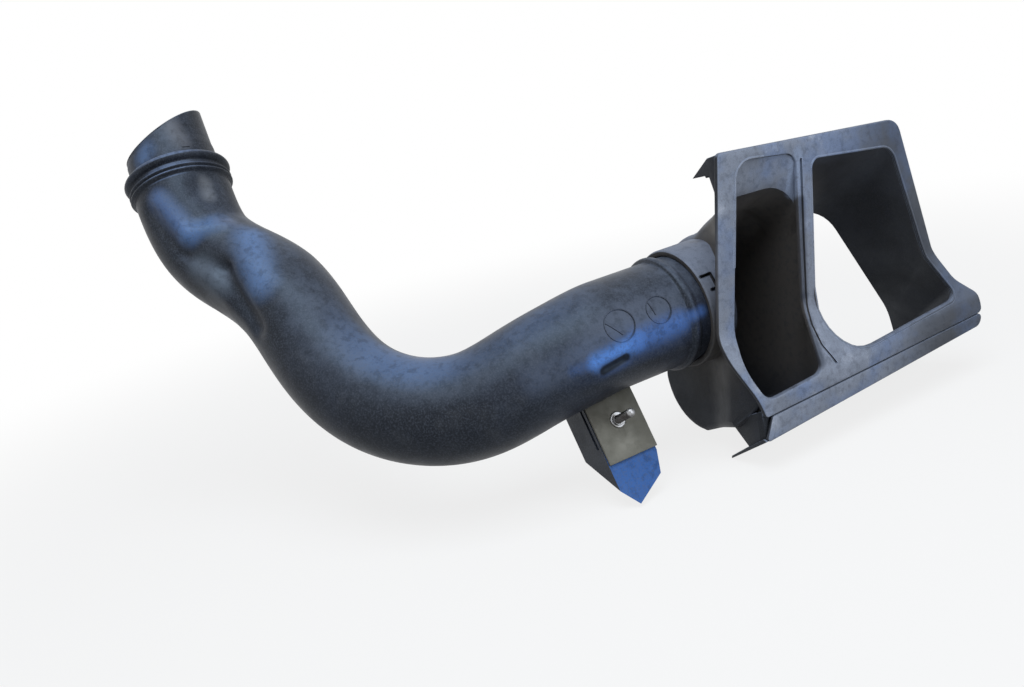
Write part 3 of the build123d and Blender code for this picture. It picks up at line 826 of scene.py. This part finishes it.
def rounded_loop(corners):
    """Closed outline with rounded corners and evenly spaced points on its straight runs."""
    flat = [Vector(c[:2]) for c in corners]
    n, arcs = len(flat), []
    for i, (p, r) in enumerate(zip(flat, (c[2] for c in corners))):
        a, b = flat[i - 1] - p, flat[(i + 1) % n] - p
        half = a.angle(b) / 2
        if half > NEARLY_STRAIGHT:
            run = b.normalized() * STRAIGHT_RUN
            arcs.append([p + run * (k / ARC_STEPS - 0.5) for k in range(ARC_STEPS + 1)])
            continue
        r = min(r, 0.48 * min(a.length, b.length) * math.tan(half))
        a, b = a.normalized(), b.normalized()
        centre = p + (a + b).normalized() * r / math.sin(half)
        start = p + a * r / math.tan(half) - centre
        sweep = math.copysign(math.pi - 2 * half, -(a.x * b.y - a.y * b.x))
        turns = [sweep * k / ARC_STEPS for k in range(ARC_STEPS + 1)]
        arcs.append([centre + Vector((start.x * math.cos(t) - start.y * math.sin(t),
                                      start.x * math.sin(t) + start.y * math.cos(t))) for t in turns])
    loop = []
    for i, points in enumerate(arcs):
        after = arcs[(i + 1) % n][0]
        loop += points + [points[-1].lerp(after, k / (RUN_STEPS + 1)) for k in range(1, RUN_STEPS + 1)]
    return loop


def grown(loop, by):
    """Outline moved outwards; its points run clockwise as seen from the front."""
    out = []
    for i, p in enumerate(loop):
        along = (loop[(i + 1) % len(loop)] - loop[i - 1]).normalized()
        out.append(p + Vector((-along.y, along.x)) * by)
    return out


def stand_up(mesh, front):
    """Turns a plate drawn flat to face the mouth, its middle following front(z)."""
    for v in mesh.vertices:
        y, z, w = v.co * 1000
        v.co = mm(front(z) + w, y, z)
    return mesh


def groove_cutter():
    """Strip along the divider, to be cut into the flat flange from its front."""
    half = GROOVE_WIDE / 2
    loop = [Vector((y - half, z)) for y, z in GROOVE] + [Vector((y + half, z)) for y, z in reversed(GROOVE)]
    mesh = plate("groove", [loop], GROOVE_DEEP * 2, 0)
    for v in mesh.vertices:
        v.co.z += FLANGE_T / 2 / 1000
    return mesh


def flange_mesh():
    """Mouth flange with its two windows and the groove, cut across at the bends and stood up."""
    loops = [rounded_loop(o) for o in (FLANGE, LEFT_WINDOW, RIGHT_WINDOW)]
    flange = carved("flange", plate("flange", loops, FLANGE_T, FLANGE_RIM), [groove_cutter()], 0)
    with edited(flange) as bm:
        for z in BENDS:
            geom = bm.verts[:] + bm.edges[:] + bm.faces[:]
            bmesh.ops.bisect_plane(bm, geom=geom, plane_co=(0, z / 1000, 0), plane_no=(0, 1, 0), dist=1e-7)
    return clean(stand_up(flange, lambda z: kick(z) - FLANGE_T / 2))


def rim_bead(window, corner_only):
    """Slightly raised rim round a window of the mouth, or only about its top left corner."""
    loop = grown(rounded_loop(window), RIM_OUT)
    if corner_only:
        loop = loop[-RIM_BEFORE:] + loop[:RIM_AFTER]
    return tube_mesh("rim", [mm(kick(p.y) - RIM_SUNK, p.x, p.y) for p in loop], RIM_R, not corner_only)


def channel_mesh():
    """Open channel behind the right window, its roof falling and its right wall leaning out to the rear."""
    front, rear = rounded_loop(RIGHT_WINDOW), rounded_loop(CHANNEL_REAR)

    def rows(by):
        ends = list(zip(grown(front, by), grown(rear, by)))
        out = []
        for t in (k / CHANNEL_STEPS for k in range(CHANNEL_STEPS + 1)):
            depths = [(kick(p.y) - SHELL_SET) * (1 - t) + CHANNEL_BACK * t for p, _ in ends]
            out.append([Vector((x, *p.lerp(q, t))) for x, (p, q) in zip(depths, ends)])
        return out

    return shell("channel", rows(SKIN), rows(0), False)


def left_wall(x, z, start, flare):
    """Place along the pipe of the scoop's left wall, which leans and flares towards the mouth."""
    return start + LEFT_SLANT * z - flare * max(0, x)


def hood_section(x):
    """Inside outline of the hood across the pipe's axis, with its roof ramp, round back and sloping floor."""
    roof, floor = np.interp(x, *zip(*HOOD_ROOF)), np.interp(x, *zip(*HOOD_FLOOR))
    if x < HOOD_TURN_X:
        drop = HOOD_BACK_R - math.sqrt(max(0, HOOD_BACK_R ** 2 - (x - HOOD_TURN_X) ** 2))
        roof, floor = roof - drop, floor + drop

    def left(z):
        return left_wall(x, z, HOOD_LEFT_Y, HOOD_FLARE)

    def right(z):
        return HOOD_RIGHT_Y + RIGHT_SLANT * (z - HOOD_RIGHT_Z)

    return [(left(roof), roof, 6), (right(roof), roof - 2, 27 if x > 0 else 16), (right(46), 46, 50),
            (right(floor), floor, 8), (left(floor), floor, 3), (left(20), 20, 45)]


def hood_mesh():
    """Hood behind the left window, closed at the back, with the pipe's hole through its left wall."""
    window = rounded_loop(LEFT_WINDOW)
    depths = [x for x, _ in reversed(HOOD_ROOF) if x >= HOOD_TURN_X]
    depths += [HOOD_TURN_X - HOOD_BACK * math.sin(math.radians(a)) for a in range(10, 91, 8)]

    def rows(by):
        out = [[Vector((kick(p.y) - SHELL_SET, p.x, p.y)) for p in grown(window, by)]]
        for x in depths:
            behind = min(0, x - HOOD_TURN_X)
            at = x + behind * by / HOOD_BACK
            out.append([Vector((at, *p)) for p in grown(rounded_loop(hood_section(x)), by)])
        return out

    hole = skin_mesh("hole", [round_ring(SLEEVE_BORE, lambda p, y=y: y) for y in HOLE_Y], False)
    return clean(carved("hood", shell("hood", rows(SKIN), rows(0), True), [hole], 0))


def round_ring(radius, y_at):
    """Ring about the pipe's straight end; y_at gives each point's place along it."""
    out = []
    for i in range(SLEEVE_STEPS):
        t = 2 * math.pi * i / SLEEVE_STEPS
        p = Vector((AXIS_X + radius * math.cos(t), 0, AXIS_Z + radius * math.sin(t)))
        p.y = y_at(p)
        out.append(p)
    return out


def sleeve_mesh():
    """Sleeve over the pipe's end, with a three-sided slot that frees its snap tongue."""
    def wall(p):
        return left_wall(p.x, p.z, SLEEVE_LEFT_Y, SLEEVE_FLARE)

    rows = [round_ring(SLEEVE_R, wall)] + [round_ring(r, lambda p, d=d: SLEEVE_Y + d) for r, d in SLEEVE_RIM]
    rows.append(round_ring(SLEEVE_BORE, wall))
    slot = [clean(block("slot", latch, LATCH_DEEP, *spans)) for spans in LATCH_CUTS]
    return clean(carved("sleeve", skin_mesh("sleeve", rows, True), slot, 0))


def scoop_mesh():
    """The whole scoop: flange, lip, the bars and webs that carry them, hood, channel and sleeve."""
    rims = [rim_bead(LEFT_WINDOW, True), rim_bead(RIGHT_WINDOW, False)]
    lip = clean(stand_up(plate("lip", [rounded_loop(LIP)], LIP_T, LIP_RIM), lambda z: LIP_X))
    bridge = prism([(59, 3), (61, 3), (61, -6), (59, -6)], 0, 214, 1.6, (0, 87, -16))
    under = prism([(62, 0), (59, 1.5), (19, -22), (18, -24.5)], 0, 223, 3.4, (0, 76, -32))
    low_web = prism([(22, -24), (40, -42), (59.5, -33), (59.5, -10), (50, -14)], 78, 81)
    corner = prism([(50, -16), (59.2, -11), (59.2, -32.8), (44, -34), (44, -22)], 79.5, 86, bevel=0.3)
    top_web = prism([(40, 165), (30, 163), (11, 149.5), (29, 151.5), (32, 140), (30, 126), (40, 124)], 91, 94)
    top_lip = prism([(40, 164), (30, 162), (11, 149.5), (12, 147.5), (31, 158), (40, 159)], 0, 150, -4.2,
                    (0, 91, 0))
    parts = rims + [bridge, flange_mesh(), lip, under, low_web, corner, top_web, top_lip]
    return joined("scoop", parts + [hood_mesh(), channel_mesh(), sleeve_mesh()])


def clip_mesh():
    """Clip bent from one strip: front plate, bend round the lug's right side, leg in the lug's slot."""
    plate_rows = [[lean(x, y, z) for y, z in CLIP_PLATE] for x in PLATE_X]
    strap_rows = [[lean(x, y, z) for x, y in CLIP_STRAP] for z in STRAP_Z]
    return joined("clip", [flat_bar(plate_rows, PLATE_EASE), flat_bar(strap_rows, STRAP_EASE)])


def thread_radius(s, turn):
    """Radius of the thread at a place along the stud and a share of a turn."""
    phase = (s / THREAD_PITCH - turn) % 1
    return THREAD_ROOT + (THREAD_CREST - THREAD_ROOT) * min(1.0, THREAD_FLAT * (1 - abs(2 * phase - 1)))


def threaded_stud():
    """Stud with a rolled M6 thread, a chamfered end and a disc with a soft rim."""
    turns = [i / STUD_STEPS for i in range(STUD_STEPS)]
    out = [SIDE * math.cos(2 * math.pi * turn) + CLIP_UP * math.sin(2 * math.pi * turn) for turn in turns]
    profile = [(s, [r] * STUD_STEPS) for s, r in STUD_DISC]
    for s in np.arange(THREAD_FROM, THREAD_TO, THREAD_STEP).tolist():
        profile.append((s, [thread_radius(s, turn) for turn in turns]))
    profile += [(s, [r] * STUD_STEPS) for s, r in STUD_END]
    rows = [[STUD * s + direction * r for direction, r in zip(out, radii)] for s, radii in profile]
    return skin_mesh("threaded_stud", rows, False)


def seen_directly(tree):
    """1 for rays from the camera and for glossy and transmission rays, which all see plain white."""
    path = tree.nodes.new("ShaderNodeLightPath")
    seen = path.outputs["Is Camera Ray"]
    for kind in ("Is Glossy Ray", "Is Transmission Ray"):
        either = tree.nodes.new("ShaderNodeMath")
        either.operation = "MAXIMUM"
        tree.links.new(seen, either.inputs[0])
        tree.links.new(path.outputs[kind], either.inputs[1])
        seen = either.outputs[0]
    return seen


def blend_to_output(tree, factor, shaders, output):
    """Sends a mix of two shaders to an output."""
    blend = tree.nodes.new("ShaderNodeMixShader")
    for value, socket in zip([factor] + [s.outputs[0] for s in shaders], blend.inputs):
        tree.links.new(value, socket)
    tree.links.new(blend.outputs[0], tree.nodes[output].inputs["Surface"])


def make_floor():
    """Floor that looks white, with a soft shadow close under the part."""
    z, s = cad_box[0][2] - FLOOR_GAP, FLOOR_HALF
    mesh = bpy.data.meshes.new("floor")
    mesh.from_pydata([(-s, -s, z), (s, -s, z), (s, s, z), (-s, s, z)], [], [(0, 1, 2, 3)])
    obj = bpy.data.objects.new("floor", mesh)
    scene.collection.objects.link(obj)
    n = Nodes("floor")
    n.dress({"Base Color": (0.45, 0.45, 0.45, 1), "Roughness": 0.9, "Specular IOR Level": 0.0}, [])
    shadow = n.times(n.near((*SHADOW_AT, z * 1000), SHADOW_INNER, SHADOW_OUTER), SHADOW)
    glow = n.times(seen_directly(n.tree), n.math("SUBTRACT", 1.0, shadow))
    blend_to_output(n.tree, glow, [n.bsdf, n.add("ShaderNodeEmission", {})], "Material Output")
    mesh.materials.append(n.mat)


def make_world():
    """Soft cool light that looks white."""
    world = bpy.data.worlds.new("studio")
    world.use_nodes = True
    tree = world.node_tree
    soft, white = tree.nodes["Background"], tree.nodes.new("ShaderNodeBackground")
    soft.inputs["Color"].default_value = (0.9, 0.95, 1.0, 1)
    soft.inputs["Strength"].default_value = 0.22
    white.inputs["Color"].default_value = (1, 1, 1, 1)
    blend_to_output(tree, seen_directly(tree), [soft, white], "World Output")
    scene.world = world


def add_panel(name, place, target, width, height, watts, tint):
    """Light panel at a place, turned to a target."""
    light = bpy.data.lights.new(name, "AREA")
    light.shape, light.size, light.size_y = "RECTANGLE", width, height
    light.energy, light.color = watts, tint
    obj = bpy.data.objects.new(name, light)
    obj.location = place
    obj.rotation_euler = (Vector(target) - Vector(place)).to_track_quat("-Z", "Y").to_euler()
    scene.collection.objects.link(obj)


def add_camera():
    """Camera as fitted to the photograph: position, right and up directions, and lens."""
    right = CAMERA_RIGHT.normalized()
    back = right.cross(CAMERA_UP).normalized()
    turn = Matrix((right, back.cross(right), back)).transposed()
    data = bpy.data.cameras.new("camera")
    data.sensor_width, data.sensor_fit, data.lens = SENSOR, "HORIZONTAL", LENS
    data.clip_start, data.clip_end = 0.01, 50
    obj = bpy.data.objects.new("camera", data)
    obj.matrix_world = Matrix.Translation(mm(*CAMERA_AT)) @ turn.to_4x4()
    scene.collection.objects.link(obj)
    scene.camera = obj


# Pipe and lug
pipe_mat, scoop_mat, clip_mat, stud_mat = pipe_plastic(), scoop_plastic(), clip_steel(), stud_steel()
stations = Stations()
pipe = pipe_skin(stations)
for dent in DENTS:
    press(pipe, *dent)
pipe_obj = add_piece("moulded_pipe", pipe, pipe_mat)
lug_obj = add_piece("pipe_lug", lug_mesh(stations), pipe_mat)
for obj in (pipe_obj, lug_obj):
    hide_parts("duct_pipe")

# Mould date marks with plain pointers, and the dash on the spigot
raised = []
for k, (centre, normal, r, pointer) in enumerate(MARKS):
    raised.append((f"mould_mark_{k}_ring", centre, normal, circle(r), MARK_RING_R, True))
    raised.append((f"mould_mark_{k}_pointer", centre, normal, pointer, MARK_POINTER_R, False))
raised.append(("spigot_mark", DASH_AT, DASH_NORMAL, DASH, DASH_R, False))
pipe_tree = ray_tree(pipe)
for name, *line in raised:
    add_piece(name, raised_line(name, pipe_tree, *line), pipe_mat)

# Scoop, clip and stud
scoop_obj = add_piece("moulded_scoop", scoop_mesh(), scoop_mat)
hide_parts("intake_scoop")
clip_obj = add_piece("bent_clip", clip_mesh(), clip_mat)
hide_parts("spring_clip")
stud_obj = add_piece("threaded_stud", threaded_stud(), stud_mat)
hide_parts("fixing_stud")

# Floor, light and camera
make_floor()
make_world()
for panel in PANELS:
    add_panel(*panel)
add_camera()
scene.view_settings.view_transform = "Standard"
